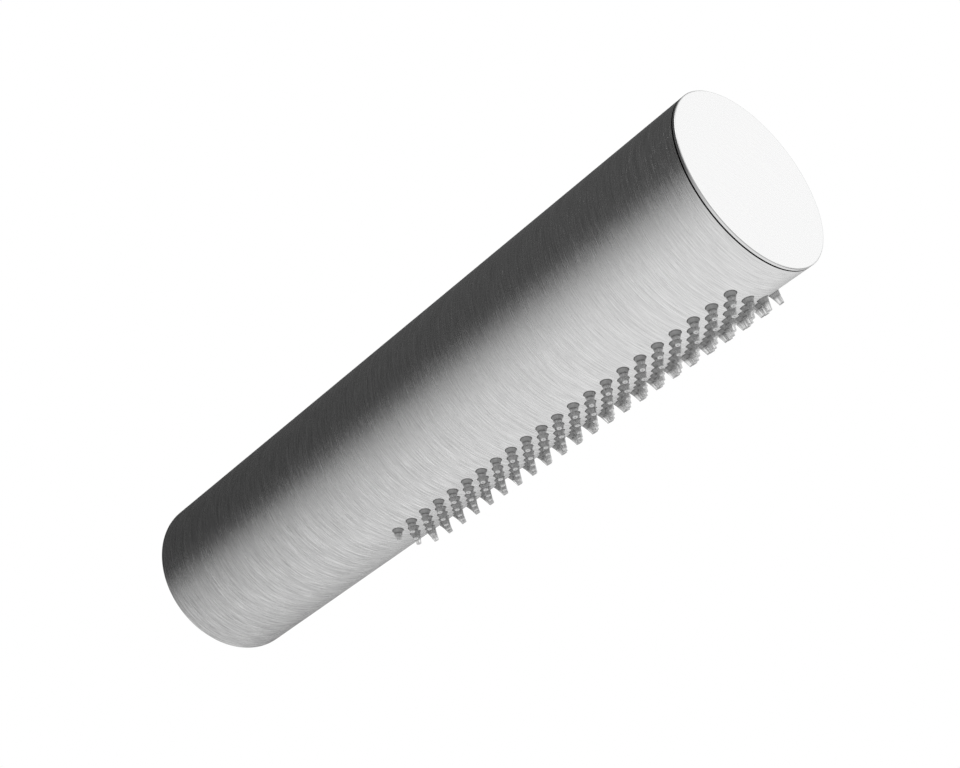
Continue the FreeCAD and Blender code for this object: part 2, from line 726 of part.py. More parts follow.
os.makedirs("parts", exist_ok=True)
for piece in pieces:
    piece.Shape.exportStep("parts/%s.step" % piece.Label)
    box = piece.Shape.BoundBox
    print("%-16s %d solid(s) %10.1f mm3  x %.1f..%.1f  y %.1f..%.1f  z %.1f..%.1f" % (
        piece.Label, len(piece.Shape.Solids), piece.Shape.Volume,
        box.XMin, box.XMax, box.YMin, box.YMax, box.ZMin, box.ZMax))
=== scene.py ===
"""A wall shower head: brushed tube, punched underside with soft nozzles, satin end cap.

Everything is in metres. The origin is the centre of the tube's end on the wall, the tube
runs towards -Y and the nozzles point down. A reach is a distance from the wall.
"""

import bpy
import numpy as np
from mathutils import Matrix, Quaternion, Vector
from mathutils.geometry import delaunay_2d_cdt


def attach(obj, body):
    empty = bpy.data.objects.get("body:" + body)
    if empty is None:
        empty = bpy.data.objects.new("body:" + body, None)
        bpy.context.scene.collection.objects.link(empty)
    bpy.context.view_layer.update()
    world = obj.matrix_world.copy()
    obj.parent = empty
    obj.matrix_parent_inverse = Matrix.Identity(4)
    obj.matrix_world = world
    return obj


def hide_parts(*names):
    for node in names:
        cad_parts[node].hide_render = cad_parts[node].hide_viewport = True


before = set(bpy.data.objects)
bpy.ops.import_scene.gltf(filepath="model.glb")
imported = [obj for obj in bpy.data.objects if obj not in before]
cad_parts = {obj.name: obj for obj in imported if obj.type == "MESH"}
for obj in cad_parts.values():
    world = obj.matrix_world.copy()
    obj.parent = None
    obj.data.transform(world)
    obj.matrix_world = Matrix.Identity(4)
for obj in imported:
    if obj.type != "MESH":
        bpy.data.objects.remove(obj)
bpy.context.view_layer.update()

MM = 0.001
FULL_TURN = 2 * np.pi

# The tube.
TUBE_RADIUS = 30 * MM
BORE_RADIUS = 28.8 * MM
TUBE_LENGTH = 266.7 * MM

# The end cap: a disc from its shoulder to its face with a chamfered edge, and behind it the
# shadow gap, spigot, seal nose and stud.
CAP_FACE = 268 * MM
CAP_EDGE = 0.15 * MM
CAP_SHOULDER = 267.1 * MM
GAP_RADIUS = 29.2 * MM
SPIGOT_RADIUS = 28.65 * MM
SPIGOT_END = 264.1 * MM
SEAL_NOSE_RADIUS = 26.4 * MM
SEAL_NOSE_END = 261.3 * MM
STUD_RADIUS = 4 * MM
STUD_END = 249.6 * MM

# The nozzle field: seven lines, every second one long and the others half a pitch off.
LINE_STEP = np.radians(7.28)
LINES = 7
PITCH = 7.26 * MM
LONG_LINE = 22
FIRST_NOZZLE = 251.6 * MM
HOLE_RADIUS = 1.93 * MM

# A nozzle: a flared foot sunk under the tube's surface, a waist, and a bevelled tip with a
# blind bore.
NOZZLE_HEIGHT = 4.2 * MM
FOOT_RADIUS = 1.84 * MM
FOOT_SUNK = 0.12 * MM
WAIST_RADIUS = 1.34 * MM
WAIST_HEIGHT = 1.4 * MM
TIP_RADIUS = 0.84 * MM
BEVEL_RADIUS = 0.74 * MM
BEVEL_DEPTH = 0.12 * MM
TIP_BORE = 0.3 * MM
TIP_BORE_END = 0.26 * MM
TIP_BORE_DEPTH = 0.4 * MM

# The mat that carries the nozzles: its inner radius, the room between it and the tube's
# bore, its margin past the end nozzles, and how much wider than the field each side is.
MAT_INSIDE = 27.3 * MM
MAT_ROOM = 0.05 * MM
MAT_MARGIN = 5 * MM
MAT_SIDE = np.radians(1.2)

# The nipple: a thread that fades at both ends towards a share of its depth, and then the
# shank, pipe and nose round the water way.
THREAD_RADIUS = 10.478 * MM
THREAD_PITCH = 1.814 * MM
THREAD_DEPTH = 1.16 * MM
THREAD_END = 16 * MM
THREAD_LEAD = 0.6 * MM
THREAD_START = 0.4 * MM
THREAD_FADE = 1.2 * MM
FADED_SHARE = 0.45
LEAD_RADIUS = 9.6 * MM
SHANK_RADIUS = 10.3 * MM
SHANK_START = 0.1 * MM
SHANK_END = 26.5 * MM
PIPE_RADIUS = 9 * MM
PIPE_END = 81.1 * MM
NOSE_RADIUS = 7.4 * MM
NOSE_END = 85.1 * MM
WATER_WAY = 6 * MM


def piece(name, points, faces, material, sharp=35):
    """Makes a closed mesh from points and faces; a negative volume turns the faces over."""
    points = np.asarray(points, float)
    faces = [np.asarray(group) for group in faces]
    volume = 0.0
    for group in faces:
        corners = points[group]
        for third in range(2, group.shape[1]):
            volume += np.einsum("ij,ij->i", corners[:, 0],
                                np.cross(corners[:, third - 1], corners[:, third])).sum()
    if volume < 0:
        faces = [group[:, ::-1] for group in faces]
    mesh = bpy.data.meshes.new(name)
    mesh.from_pydata(points.tolist(), [], [face for group in faces for face in group.tolist()])
    mesh.polygons.foreach_set("use_smooth", np.ones(len(mesh.polygons), bool))
    mesh.set_sharp_from_angle(angle=np.radians(sharp))
    mesh.materials.append(material)
    made = bpy.data.objects.new(name, mesh)
    bpy.context.scene.collection.objects.link(made)
    return made


def grid_faces(rows, columns, wrap_rows=False):
    """Four-sided faces of a grid whose columns close into a ring."""
    row = np.arange(rows if wrap_rows else rows - 1)[:, None]
    column = np.arange(columns)[None, :]
    below, beside = (row + 1) % rows, (column + 1) % columns
    corners = [row * columns + column, row * columns + beside,
               below * columns + beside, below * columns + column]
    return np.stack(np.broadcast_arrays(*corners), -1).reshape(-1, 4)


def round_points(radius, reach, turn):
    """Points round the tube's axis: (radius sin turn, -reach, -radius cos turn)."""
    return np.stack(np.broadcast_arrays(radius * np.sin(turn), -reach,
                                        -radius * np.cos(turn)), -1).reshape(-1, 3)


def nozzle_places():
    """Angle from straight down and reach of each nozzle, line by line."""
    places = []
    for line in range(LINES):
        short = line % 2
        steps = np.arange(LONG_LINE - short) + short / 2
        angle = LINE_STEP * ((LINES - 1) / 2 - line)
        places.append(np.stack([np.full(len(steps), angle), FIRST_NOZZLE - PITCH * steps], -1))
    return np.concatenate(places)


def punched_plate(around):
    """Points and faces of a flat plate with round holes, as wide as the way round the tube.

    A point is (angle x tube radius, reach). The net is a Delaunay net of columns all round,
    rows through the nozzle field, every second one left out beside the holes, and a ring of
    points round each hole. The faces inside the rings are left out.
    """
    columns, ring = 192, 24
    row_step = PITCH / 4
    plain_rows = 4
    side_margin = 2 * MM
    room_round_ring = HOLE_RADIUS * 1.15
    inside_ring = HOLE_RADIUS * 0.99
    centres = nozzle_places() * [TUBE_RADIUS, 1]
    low, high = centres[:, 1].min() - PITCH, centres[:, 1].max() + PITCH
    rows = np.concatenate([[0.0], np.linspace(low / plain_rows, low, plain_rows),
                           np.arange(low + row_step, high, row_step), [high, TUBE_LENGTH]])
    across = np.linspace(-around / 2, around / 2, columns + 1)
    net = np.stack(np.meshgrid(across, rows), -1).reshape(-1, 2)
    in_field = (net[:, 1] > low + MM / 10) & (net[:, 1] < high - MM / 10)
    beside = np.abs(net[:, 0]) > TUBE_RADIUS * LINE_STEP * LINES / 2 + side_margin
    second = (np.round((net[:, 1] - low) / row_step).astype(int) % 2) != 0
    net = net[~(in_field & beside & second)]
    gap = np.hypot(*(net[:, None] - centres[None]).transpose(2, 0, 1)).min(1)
    net = net[gap > room_round_ring]
    turn = np.linspace(0, FULL_TURN, ring, endpoint=False)
    rings = centres[:, None] + HOLE_RADIUS * np.stack([np.cos(turn), np.sin(turn)], -1)
    first = len(net) + ring * np.arange(len(centres))[:, None]
    edges = np.stack([first + np.arange(ring), first + (np.arange(ring) + 1) % ring], -1)
    flat = np.concatenate([net, rings.reshape(-1, 2)])
    whole_hull, one_point = 0, 1e-9
    made = delaunay_2d_cdt([Vector(point) for point in flat], edges.reshape(-1, 2).tolist(),
                           [], whole_hull, one_point)
    flat = np.array([tuple(point) for point in made[0]])
    faces = np.array(made[2])
    middle = flat[faces].mean(1)
    inside = np.zeros(len(faces), bool)
    for centre in centres:
        inside |= np.hypot(*(middle - centre).T) < inside_ring
    return flat, faces[~inside]


def punched_tube(material):
    """The punched plate rolled up into the tube.

    Point = (radius sin turn, -reach, -radius cos turn), where turn = place across the plate
    / tube radius. The net is laid at the outside radius and at the bore, and the free edges
    between them are walled.
    """
    around = FULL_TURN * TUBE_RADIUS
    flat, faces = punched_plate(around)

    # The two edges of the rolled plate become one.
    order = np.arange(len(flat))
    left = order[flat[:, 0] < -around / 2 + MM / 100]
    right = order[flat[:, 0] > around / 2 - MM / 100]
    left = left[np.argsort(flat[left, 1])]
    right = right[np.argsort(flat[right, 1])]
    order[right] = left
    used, faces = np.unique(order[faces], return_inverse=True)
    faces = faces.reshape(-1, 3)
    flat = flat[used]

    turn, reach = flat[:, 0] / TUBE_RADIUS, flat[:, 1]
    points = np.concatenate([round_points(TUBE_RADIUS, reach, turn),
                             round_points(BORE_RADIUS, reach, turn)])
    edges = np.concatenate([faces[:, [0, 1]], faces[:, [1, 2]], faces[:, [2, 0]]])
    key = edges.min(1) * len(flat) + edges.max(1)
    _, place, uses = np.unique(key, return_index=True, return_counts=True)
    free = edges[place[uses == 1]]
    bore = len(flat)
    walls = np.stack([free[:, 1], free[:, 0], free[:, 0] + bore, free[:, 1] + bore], -1)
    return piece("brushed_tube", points, [faces, faces[:, ::-1] + bore, walls], material,
                 sharp=40)


def nozzle_cones(material):
    """A flared cone with a blind bore in its tip, on each place.

    The profile of (radius, height over the tube's surface) is turned about the ray of its
    place: point = ray x (tube radius + height) + side x radius cos t + axis x radius sin t.
    The foot closes just under the tube's surface. The attribute "own_turn" holds
    (cos t, sin t, number of the nozzle) for the painted highlight streaks along each one.
    """
    profile = np.array([
        (FOOT_RADIUS, -FOOT_SUNK), (WAIST_RADIUS, WAIST_HEIGHT),
        (TIP_RADIUS, NOZZLE_HEIGHT - BEVEL_DEPTH), (BEVEL_RADIUS, NOZZLE_HEIGHT),
        (TIP_BORE, NOZZLE_HEIGHT), (TIP_BORE_END, NOZZLE_HEIGHT - TIP_BORE_DEPTH)])
    sides = 12
    turn = np.linspace(0, FULL_TURN, sides, endpoint=False)
    places = nozzle_places()
    angle = places[:, 0]
    zero = np.zeros(len(angle))
    ray = np.stack([np.sin(angle), zero, -np.cos(angle)], -1)
    side = np.stack([np.cos(angle), zero, np.sin(angle)], -1)
    foot = np.stack([zero, -places[:, 1], zero], -1)
    height = TUBE_RADIUS + profile[:, 1]
    points = (foot[:, None, None] + ray[:, None, None] * height[None, :, None, None]
              + side[:, None, None] * (profile[:, :1] * np.cos(turn))[None, :, :, None]
              + np.array([0, 1, 0]) * (profile[:, :1] * np.sin(turn))[None, :, :, None])
    one = grid_faces(len(profile), sides)
    ends = np.stack([np.arange(sides)[::-1], np.arange(sides) + (len(profile) - 1) * sides])
    shift = np.arange(len(places))[:, None, None] * len(profile) * sides
    cones = piece("nozzle_cones", points.reshape(-1, 3),
                  [(one[None] + shift).reshape(-1, 4), (ends[None] + shift).reshape(-1, sides)],
                  material, sharp=50)
    own_turn = np.stack(np.broadcast_arrays(np.cos(turn), np.sin(turn),
                                            np.arange(len(places))[:, None, None]), -1)
    own_turn = np.repeat(own_turn, len(profile), axis=1)
    cones.data.attributes.new("own_turn", "FLOAT_VECTOR", "POINT").data.foreach_set(
        "vector", own_turn.ravel())
    # The brushed steel smears what it mirrors along the tube, so it shows no cones.
    cones.visible_glossy = False
    return cones


def nozzle_sheet(material):
    """The mat inside the tube: a closed loop section carried along the nozzle field.

    Point = (radius sin angle, -reach, -radius cos angle), out along the bore and back inside.
    """
    steps_round, steps_along = 40, 3
    half = LINE_STEP * LINES / 2 + MAT_SIDE
    angles = np.linspace(-half, half, steps_round)
    back = angles[::-1]
    section = np.concatenate([
        np.stack([np.sin(angles), -np.cos(angles)], -1) * (BORE_RADIUS - MAT_ROOM),
        np.stack([np.sin(back), -np.cos(back)], -1) * MAT_INSIDE])
    low = FIRST_NOZZLE - PITCH * (LONG_LINE - 1) - MAT_MARGIN
    reaches = np.linspace(low, FIRST_NOZZLE + MAT_MARGIN, steps_along)
    points = np.stack(np.broadcast_arrays(section[None, :, 0], -reaches[:, None],
                                          section[None, :, 1]), -1)
    count = len(section)
    base = np.arange(steps_round - 1)
    end = np.stack([base, count - 1 - base, count - 2 - base, base + 1], -1)
    return piece("nozzle_sheet", points.reshape(-1, 3), [
        grid_faces(steps_along, count), end, end[:, ::-1] + (steps_along - 1) * count], material)


def end_disc(material):
    """The end cap, a profile of (radius, reach) turned about the tube's axis.

    It runs from the stud over the seal nose, spigot and shadow gap to the chamfer and face.
    """
    profile = np.array([
        (STUD_RADIUS, STUD_END), (STUD_RADIUS, SEAL_NOSE_END),
        (SEAL_NOSE_RADIUS, SEAL_NOSE_END), (SEAL_NOSE_RADIUS, SPIGOT_END),
        (SPIGOT_RADIUS, SPIGOT_END), (SPIGOT_RADIUS, TUBE_LENGTH),
        (GAP_RADIUS, TUBE_LENGTH), (GAP_RADIUS, CAP_SHOULDER), (TUBE_RADIUS, CAP_SHOULDER),
        (TUBE_RADIUS, CAP_FACE - CAP_EDGE), (TUBE_RADIUS - CAP_EDGE, CAP_FACE)])
    count = 256
    turn = np.linspace(0, FULL_TURN, count, endpoint=False)
    points = round_points(profile[:, :1], profile[:, 1:], turn)
    centre = len(points)
    points = np.concatenate([points, [[0, -STUD_END, 0], [0, -CAP_FACE, 0]]])
    column = np.arange(count)
    beside = (column + 1) % count
    last = (len(profile) - 1) * count
    fans = [np.stack([np.full(count, centre), beside, column], -1),
            np.stack([np.full(count, centre + 1), last + column, last + beside], -1)]
    return piece("end_disc", points, [grid_faces(len(profile), count)] + fans, material,
                 sharp=30)


def threaded_nipple(material):
    """The inlet nipple, with a helical pipe thread on the end that goes into the wall.

    Thread radius = crest radius - depth x valley, where valley = 2 |2 phase - 1| - 1/2, kept
    between 0 and 1, and phase = way into the wall / pitch + turn / full turn, less its whole
    part. At both ends of the thread the valley fades towards an even share.
    """
    count, rings = 72, 110
    turn = np.linspace(0, FULL_TURN, count, endpoint=False)
    into_wall = np.linspace(THREAD_END - THREAD_LEAD, THREAD_START, rings)[:, None]
    phase = (into_wall / THREAD_PITCH + turn / FULL_TURN) % 1
    valley = np.clip(2 * np.abs(2 * phase - 1) - 0.5, 0, 1)
    fade = np.clip(np.minimum(THREAD_END - into_wall, into_wall) / THREAD_FADE, 0, 1)
    thread = THREAD_RADIUS - THREAD_DEPTH * (valley * fade + FADED_SHARE * (1 - fade))
    plain = np.array([
        (SHANK_RADIUS, SHANK_START), (SHANK_RADIUS, SHANK_END), (PIPE_RADIUS, SHANK_END),
        (PIPE_RADIUS, PIPE_END), (NOSE_RADIUS, PIPE_END), (NOSE_RADIUS, NOSE_END),
        (WATER_WAY, NOSE_END), (WATER_WAY, -THREAD_END)])
    even = np.ones(count)
    radius = np.concatenate([[LEAD_RADIUS * even], thread, plain[:, :1] * even])
    reach = np.concatenate([[[-THREAD_END]], -into_wall, plain[:, 1:]])
    return piece("threaded_nipple", round_points(radius, reach, turn),
                 [grid_faces(len(radius), count, wrap_rows=True)], material)


class Signal:
    """A shader socket that works in sums: each operator adds a Math node."""

    def __init__(self, finish, socket):
        self.finish = finish
        self.socket = socket

    def maths(self, operation, *values):
        return self.finish.add("ShaderNodeMath", {"operation": operation},
                               dict(enumerate(values)))

    def __add__(self, other):
        return self.maths("ADD", self, other)

    def __radd__(self, other):
        return self.maths("ADD", other, self)

    def __sub__(self, other):
        return self.maths("SUBTRACT", self, other)

    def __rsub__(self, other):
        return self.maths("SUBTRACT", other, self)

    def __mul__(self, other):
        return self.maths("MULTIPLY", self, other)

    def __rmul__(self, other):
        return self.maths("MULTIPLY", other, self)

    def __pow__(self, other):
        return self.maths("POWER", self, other)

    def __gt__(self, other):
        return self.maths("GREATER_THAN", self, other)

    def __lt__(self, other):
        return self.maths("LESS_THAN", self, other)

    def capped(self):
        """No more than one."""
        return self.maths("MINIMUM", self, 1.0)

    def scaled(self, factor):
        """A colour or a vector times a number."""
        return self.finish.add("ShaderNodeVectorMath", {"operation": "SCALE"},
                               {0: self, "Scale": factor})


class Finish:
    """A node tree, in which add() makes any node from its type, settings and sockets."""

    def __init__(self, tree):
        self.tree = tree
        tree.nodes.clear()

    def add(self, kind, settings=None, sockets=None, output=0):
        """Gives back one output of the new node, or None if it has none.

        The setting "stops" holds a ramp's stops as (place, level).
        """
        node = self.tree.nodes.new(kind)
        for name, value in (settings or {}).items():
            if name == "stops":
                stops = node.color_ramp.elements
                while len(stops) < len(value):
                    stops.new(0.5)
                for stop, (place, level) in zip(stops, value):
                    stop.position = place
                    stop.color = grey(level)
            else:
                setattr(node, name, value)
        for name, value in (sockets or {}).items():
            if isinstance(value, Signal):
                self.tree.links.new(value.socket, node.inputs[name])
            else:
                node.inputs[name].default_value = value
        return Signal(self, node.outputs[output]) if len(node.outputs) else None

    def split(self, vector):
        """The three parts of a vector as single numbers."""
        parts = self.add("ShaderNodeSeparateXYZ", sockets={"Vector": vector})
        return [Signal(self, socket) for socket in parts.socket.node.outputs]

    def place(self):
        """Object coordinates."""
        return self.add("ShaderNodeTexCoord", output=3)

    def around_axis(self):
        """Distance from the tube's axis and reach from the wall."""
        across, along, up = self.split(self.place())
        return (across * across + up * up) ** 0.5, 0 - along

    def rays(self):
        """Whether a ray is gloss, and whether it is seen at all.

        Seen are the rays from the camera, in gloss and through something clear.
        """
        path = self.add("ShaderNodeLightPath").socket.node
        is_camera, is_glossy, is_through = [
            Signal(self, path.outputs[name])
            for name in ("Is Camera Ray", "Is Glossy Ray", "Is Transmission Ray")]
        return is_glossy, (is_camera + is_glossy + is_through).capped()

    def stretched(self, cells, turn):
        """Object coordinates, turned and then stretched to so many cells a metre."""
        return self.add("ShaderNodeMapping", {"vector_type": "TEXTURE"}, {
            "Vector": self.place(), "Rotation": turn, "Scale": [1 / part for part in cells]})

    def noise(self, where, detail, scale=1.0, roughness=0.5):
        return self.add("ShaderNodeTexNoise", sockets={
            "Vector": where, "Scale": scale, "Detail": detail, "Roughness": roughness})

    def ramp(self, value, stops):
        return self.add("ShaderNodeValToRGB", {"stops": stops}, {"Fac": value})

    def blend(self, share, first, second):
        """A colour between two others."""
        return self.add("ShaderNodeMix", {"data_type": "RGBA"}, {0: share, 6: first, 7: second},
                        output=2)

    def bump(self, height, distance):
        return self.add("ShaderNodeBump", sockets={"Height": height, "Distance": distance})

    def leaning(self, normal, lean):
        """A normal that leans round the tube's axis, by the tangent (up, 0, -across)."""
        across, _, up = self.split(self.place())
        round_axis = self.add("ShaderNodeCombineXYZ", sockets={"X": up, "Z": 0 - across})
        leant = self.add("ShaderNodeVectorMath", {"operation": "ADD"}, {
            0: normal, 1: round_axis.scaled(lean * (1 / TUBE_RADIUS))})
        return self.add("ShaderNodeVectorMath", {"operation": "NORMALIZE"}, {0: leant})

    def surface(self, sockets):
        """Closes the tree with one principled shader."""
        shader = self.add("ShaderNodeBsdfPrincipled", sockets=sockets)
        self.add("ShaderNodeOutputMaterial", sockets={"Surface": shader})


def new_finish(name):
    material = bpy.data.materials.new(name)
    material.use_nodes = True
    return material, Finish(material.node_tree)


def grey(level):
    return (level, level, level, 1.0)


def brushed_steel():
    """Stainless steel brushed round the tube in strokes that cross at small angles.

    The short strokes vary the tone most near the wall. The bore, the walls of the holes and
    the end in the shadow gap are darkened with painted shade.
    """
    material, finish = new_finish("brushed_steel")
    wall_end = 2 * MM
    fine = finish.noise(finish.stretched((48, 2900, 48), (0.03, 0, -0.02)), 2)
    crossed = finish.noise(finish.stretched((70, 3600, 70), (-0.04, 0, 0.04)), 1.5)
    strokes = fine * 0.55 + crossed * 0.45
    hairs = finish.noise(finish.stretched((150, 9000, 150), (0.02, 0, -0.02)), 1)
    short = finish.noise(finish.stretched((125, 3300, 125), (-0.02, 0, 0.03)), 1)
    tone = finish.ramp(strokes, [(0.38, 0.0), (0.62, 1.0)])
    radius, reach = finish.around_axis()
    depth = finish.ramp(reach * (1 / TUBE_LENGTH), [(0.2, 1.0), (0.8, 0.4)])
    steel = finish.blend(tone, grey(0.645), grey(0.755)).scaled((short - 0.5) * depth + 1)
    # Painted shade: the bore, the hole walls and the tube's end in the shadow gap go near black.
    inside = (radius < TUBE_RADIUS - MM / 10) * (reach > wall_end)
    painted_shade = ((reach > TUBE_LENGTH - MM / 20) + inside).capped()
    finish.surface({
        "Base Color": finish.blend(painted_shade, steel, grey(0.05)),
        "Metallic": 1.0,
        "Roughness": tone * 0.08 + 0.20,
        "Normal": finish.leaning(finish.bump(strokes * 0.2 + hairs * 0.6, 0.09 * MM),
                                 (strokes - 0.5) * 0.12 + (short - 0.5) * 0.18)})
    return material


def satin_steel():
    """Fine satin steel of the end cap, with a painted dark line at its face's rim and painted
    shade in the shadow gap.
    """
    material, finish = new_finish("satin_steel")
    painted_rim_width = 0.36 * MM
    gap_shade_inside = 25 * MM
    lines = finish.noise(finish.stretched((60, 60, 2400), (0, 0.6, 0)), 2)
    radius, reach = finish.around_axis()
    # Painted dark line at the face's rim, standing in for the darker reflection on the chamfer.
    painted_rim_line = (radius > TUBE_RADIUS - painted_rim_width) * (reach > CAP_FACE - 0.9 * CAP_EDGE)
    # Painted shade in the shadow gap: its floor, the spigot and the seal nose go near black.
    gap = (radius > gap_shade_inside) * (reach < CAP_SHOULDER + MM / 20)
    steel = finish.blend(painted_rim_line, finish.blend(lines, grey(0.72), grey(0.745)), grey(0.58))
    finish.surface({
        "Base Color": finish.blend(gap, steel, grey(0.03)),
        "Metallic": 1.0,
        "Roughness": lines * 0.06 + 0.24,
        "Normal": finish.bump(lines, 0.002 * MM)})
    return material


def clear_silicone():
    """Grey translucent silicone: solid in the hole, clearer outwards; painted shade in the hole,
    painted highlight on the tip.
    """
    material, finish = new_finish("clear_silicone")
    cloud = finish.noise(finish.place(), 2, 900)
    radius = finish.around_axis()[0]
    height = (radius - TUBE_RADIUS) * (1 / NOZZLE_HEIGHT)
    # Painted shade darkens the foot in the hole and a band just above the waist; a painted
    # highlight makes the tip pale.
    tone = finish.ramp(height, [
        (0.0, 0.16), (0.03, 0.26), (0.1, 0.42), (0.28, 0.38), (0.36, 0.12), (0.43, 0.38),
        (0.97, 0.50), (0.995, 0.80)])
    solid = finish.ramp(height, [
        (0.0, 1.0), (0.03, 0.78), (0.36, 0.66), (0.6, 0.52), (0.9, 0.42), (0.98, 0.85)])
    own_turn = finish.add("ShaderNodeAttribute", {"attribute_name": "own_turn"}, output=1)
    # Painted highlight streaks: pale, more see-through lines along each cone, standing in for
    # glints.
    painted_highlight_streaks = (finish.ramp(finish.noise(own_turn, 1, 2.6), [(0.49, 0.0), (0.56, 1.0)])
               * finish.ramp(height, [(0.36, 0.0), (0.6, 0.9), (0.93, 0.9), (0.97, 0.0)]))
    clouded = finish.blend(cloud, tone.scaled(0.92), tone.scaled(1.08))
    finish.surface({
        "Base Color": finish.blend(painted_highlight_streaks, clouded, grey(0.9)),
        "Roughness": cloud * 0.06 + 0.10,
        "IOR": 1.5,
        "Alpha": solid * (1 - painted_highlight_streaks * 0.8)})
    return material


def plain_finish(name, dark, light, roughness, scale):
    """Moulded stuff with a fine grain in colour, gloss and height."""
    material, finish = new_finish(name)
    grain = finish.noise(finish.place(), 3, scale, 0.6)
    finish.surface({
        "Base Color": finish.blend(grain, dark, light),
        "Roughness": grain * 0.12 + roughness,
        "Normal": finish.bump(grain, 0.02 * MM)})
    return material


def turned_finish(name, dark, light, roughness):
    """Lathe-turned metal: fine rings round the tube's axis."""
    material, finish = new_finish(name)
    rings = finish.add("ShaderNodeTexWave", {"wave_type": "RINGS", "rings_direction": "Y"}, {
        "Vector": finish.place(), "Scale": 900.0, "Distortion": 1.5, "Detail": 2.0,
        "Detail Scale": 2.0}, output=1)
    finish.surface({
        "Base Color": finish.blend(rings, dark, light),
        "Metallic": 1.0,
        "Roughness": rings * 0.1 + roughness,
        "Normal": finish.bump(rings, 0.01 * MM)})
    return material


def foam():
    """Closed-cell foam of the ring against the wall."""
    material, finish = new_finish("foam")
    cells = finish.add("ShaderNodeTexVoronoi", sockets={
        "Vector": finish.place(), "Scale": 1600.0})
    finish.surface({
        "Base Color": finish.blend(cells, grey(0.03), grey(0.07)),
        "Roughness": 0.85,
        "Normal": finish.bump(cells, 0.1 * MM)})
    return material


def woven_mesh():
    """Fine wire cloth of the filter: two sets of waves at right angles."""
    material, finish = new_finish("woven_mesh")
    wires = [finish.add("ShaderNodeTexWave", {"bands_direction": axis}, {
        "Vector": finish.place(), "Scale": 400.0}, output=1) for axis in ("X", "Z")]
    cloth = wires[0] * 0.5 + wires[1] * 0.5
    finish.surface({
        "Base Color": finish.blend(cloth, grey(0.08), grey(0.6)),
        "Metallic": 1.0,
        "Roughness": 0.35,
        "Normal": finish.bump(cloth, 0.1 * MM)})
    return material


def dress():
    """Puts the new pieces on the frame and a finish on every other node."""
    silicone = clear_silicone()
    # The mat is painted near black as shade inside the tube, seen through the gaps round the
    # nozzles.
    mat = plain_finish("grey_silicone_in_painted_shade", grey(0.07), grey(0.10), 0.42, 700)
    brass = turned_finish("turned_brass", (0.62, 0.47, 0.22, 1), (0.72, 0.57, 0.30, 1), 0.22)
    cap = satin_steel()
    for made, slot, nodes in (
            (punched_tube(brushed_steel()), "brushed_tube", ["casing_tube"]),
            (nozzle_cones(silicone), "nozzle_silicone", ["nozzle_mat"]),
            (nozzle_sheet(mat), "nozzle_silicone", ["nozzle_mat"]),
            (end_disc(cap), "cap_steel", ["end_cap"]),
            (threaded_nipple(brass), "inlet_brass", ["inlet_nipple"])):
        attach(made, "root")
        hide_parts(*nodes)

    rubber = plain_finish("seal_rubber", grey(0.02), grey(0.035), 0.5, 500)
    moulded = plain_finish("moulded_plastic", grey(0.045), grey(0.06), 0.42, 300)
    pale = plain_finish("pale_plastic", grey(0.55), grey(0.62), 0.38, 300)
    screw = turned_finish("screw_steel", grey(0.35), grey(0.5), 0.28)
    flange = turned_finish("turned_aluminium", grey(0.60), grey(0.72), 0.3)
    finishes = {
        "end_cap_seal": rubber, "inlet_seal": rubber, "regulator_seal": rubber,
        "water_chamber": moulded, "chamber_lid": moulded,
        "rear_saddle": pale, "middle_saddle": pale, "front_saddle": pale,
        "filter_screen": woven_mesh(), "flow_regulator": pale,
        "wall_flange": flange, "wall_gasket": foam(),
        "nut_washer": screw, "lock_nut": brass, "set_screws": screw}
    for name, material in finishes.items():
        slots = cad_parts[name].data.materials
        slots.clear()
        slots.append(material)


# The photograph's camera: place, aim on the tube's axis, turn about the view and lens.
CAMERA_PLACE = Vector((-0.4075, -0.4764, -0.1536))
CAMERA_AIM = Vector((0.0, -0.1479, 0.0001))
CAMERA_ROLL = np.radians(-24.46)
CAMERA_LENS = 63.0

# The floor's height, half its side and its own glow where it is seen, and the sky's level
# for the rays that only bring light.
FLOOR_HEIGHT = -0.8
FLOOR_HALF = 4
FLOOR_GLOW = 0.36
SKY_LEVEL = 0.8


def soft_box(name, place, aim, width, height, radiance):
    """An area lamp that shines from its place towards its aim, as bright as its radiance."""
    lamp = bpy.data.lights.new(name, "AREA")
    lamp.shape = "RECTANGLE"
    lamp.size = width
    lamp.size_y = height
    lamp.energy = radiance * np.pi * width * height
    holder = bpy.data.objects.new(name, lamp)
    holder.location = place
    holder.rotation_mode = "QUATERNION"
    holder.rotation_quaternion = (Vector(aim) - Vector(place)).to_track_quat("-Z", "Y")
    bpy.context.scene.collection.objects.link(holder)


def surround(finish, direction):
    """How bright gloss sees the surround: white, with a dark flag on the wall's side.

    Level = (1 - flag (1 - shade)) x wall x viewer x (1 - lamp) x (1 - corner). The shade is
    darkest overhead and clears downwards, and its lower border rises towards the viewer.
    The light falls off towards the wall and the viewer. It is less behind the front lamp and
    in the corner beside the wall.
    """
    across, along, up = finish.split(direction)
    lift = finish.ramp(along, [(0.3, 0.28), (0.65, 0.0)])
    shade = finish.ramp((up - lift) * 0.5 + 0.5, [
        (0.08, 1.0), (0.13, 0.98), (0.226, 0.86), (0.368, 0.685), (0.449, 0.589),
        (0.532, 0.456), (0.60, 0.22), (0.65, 0.087), (0.76, 0.075)])
    flag = finish.ramp(along * 0.5 + 0.5, [(0.27, 0.0), (0.375, 0.6), (0.55, 1.0)])
    wall = finish.ramp(along, [(0.60, 1.0), (0.67, 0.95), (0.75, 0.56)])
    viewer = finish.ramp(0 - along, [(0.52, 1.0), (0.95, 0.5)])
    lamp = (finish.ramp(across, [(0.45, 0.0), (0.65, 0.62)])
            * finish.ramp(0 - along, [(0.05, 0.0), (0.25, 1.0)]))
    corner = (finish.ramp(across, [(0.3, 0.0), (0.65, 0.24)])
              * finish.ramp(along, [(0.57, 0.0), (0.70, 1.0)]))
    return (1 - flag * (1 - shade)) * wall * viewer * (1 - lamp) * (1 - corner)


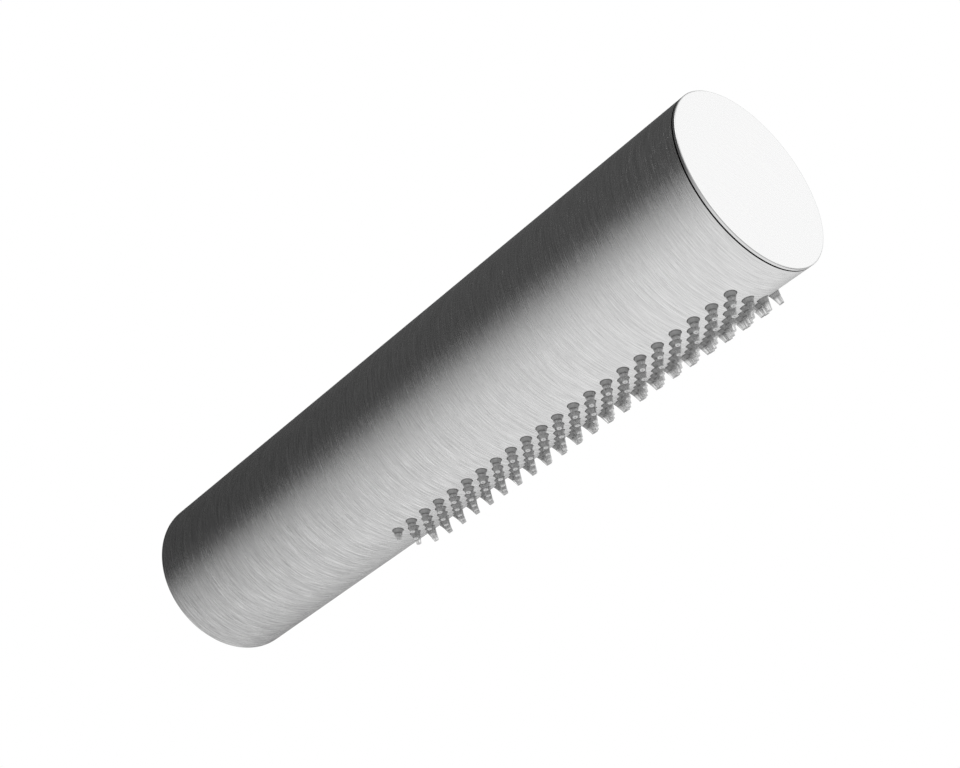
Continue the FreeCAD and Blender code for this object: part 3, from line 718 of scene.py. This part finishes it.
def sky():
    """A white sky that gloss sees as the surround, and an even light on the rest."""
    world = bpy.data.worlds.new("studio")
    world.use_nodes = True
    bpy.context.scene.world = world
    finish = Finish(world.node_tree)
    is_glossy, seen = finish.rays()
    in_gloss = surround(finish, finish.add("ShaderNodeTexCoord"))
    level = seen * (1 - is_glossy * (1 - in_gloss)) + (1 - seen) * SKY_LEVEL
    light = finish.add("ShaderNodeBackground", sockets={"Color": grey(1), "Strength": level})
    finish.add("ShaderNodeOutputWorld", sockets={"Surface": light})


def pale_floor():
    """A pale floor that keeps the shadow, and that gloss sees as the surround."""
    corners = [(-1, -1), (1, -1), (1, 1), (-1, 1)]
    mesh = bpy.data.meshes.new("floor")
    mesh.from_pydata([(x * FLOOR_HALF, y * FLOOR_HALF, FLOOR_HEIGHT) for x, y in corners], [],
                     [(0, 1, 2, 3)])
    floor = bpy.data.objects.new("floor", mesh)
    bpy.context.scene.collection.objects.link(floor)
    material, finish = new_finish("pale_floor")
    is_glossy, seen = finish.rays()
    pale = finish.add("ShaderNodeBsdfPrincipled", sockets={
        "Base Color": grey(0.8), "Roughness": 0.9, "Specular IOR Level": 0.0,
        "Emission Color": seen * FLOOR_GLOW, "Emission Strength": 1.0})
    towards = finish.add("ShaderNodeVectorMath", {"operation": "NORMALIZE"}, {0: finish.place()})
    mirrored = finish.add("ShaderNodeEmission", sockets={"Color": surround(finish, towards)})
    both = finish.add("ShaderNodeMixShader", sockets={0: is_glossy, 1: pale, 2: mirrored})
    finish.add("ShaderNodeOutputMaterial", sockets={"Surface": both})
    mesh.materials.append(material)


def photo_camera():
    """The camera with the photograph's view."""
    lens = bpy.data.cameras.new("photo_camera")
    lens.lens = CAMERA_LENS
    camera = bpy.data.objects.new("photo_camera", lens)
    camera.location = CAMERA_PLACE
    camera.rotation_mode = "QUATERNION"
    camera.rotation_quaternion = ((CAMERA_AIM - CAMERA_PLACE).to_track_quat("-Z", "Y")
                                  @ Quaternion((0, 0, 1), CAMERA_ROLL))
    bpy.context.scene.collection.objects.link(camera)
    bpy.context.scene.camera = camera


def studio():
    """White surround, pale floor, two soft lamps and the camera."""
    sky()
    pale_floor()
    soft_box("front_soft_box", place=(1.18, -0.87, 0.445), aim=(0, -0.268, 0),
             width=1.7, height=1.5, radiance=0.92)
    soft_box("top_soft_box", place=(-0.3, -0.9, 1.7), aim=(0, -0.13, 0),
             width=1.4, height=1.0, radiance=1.3)
    photo_camera()
    bpy.context.scene.view_settings.view_transform = "Standard"


dress()
studio()
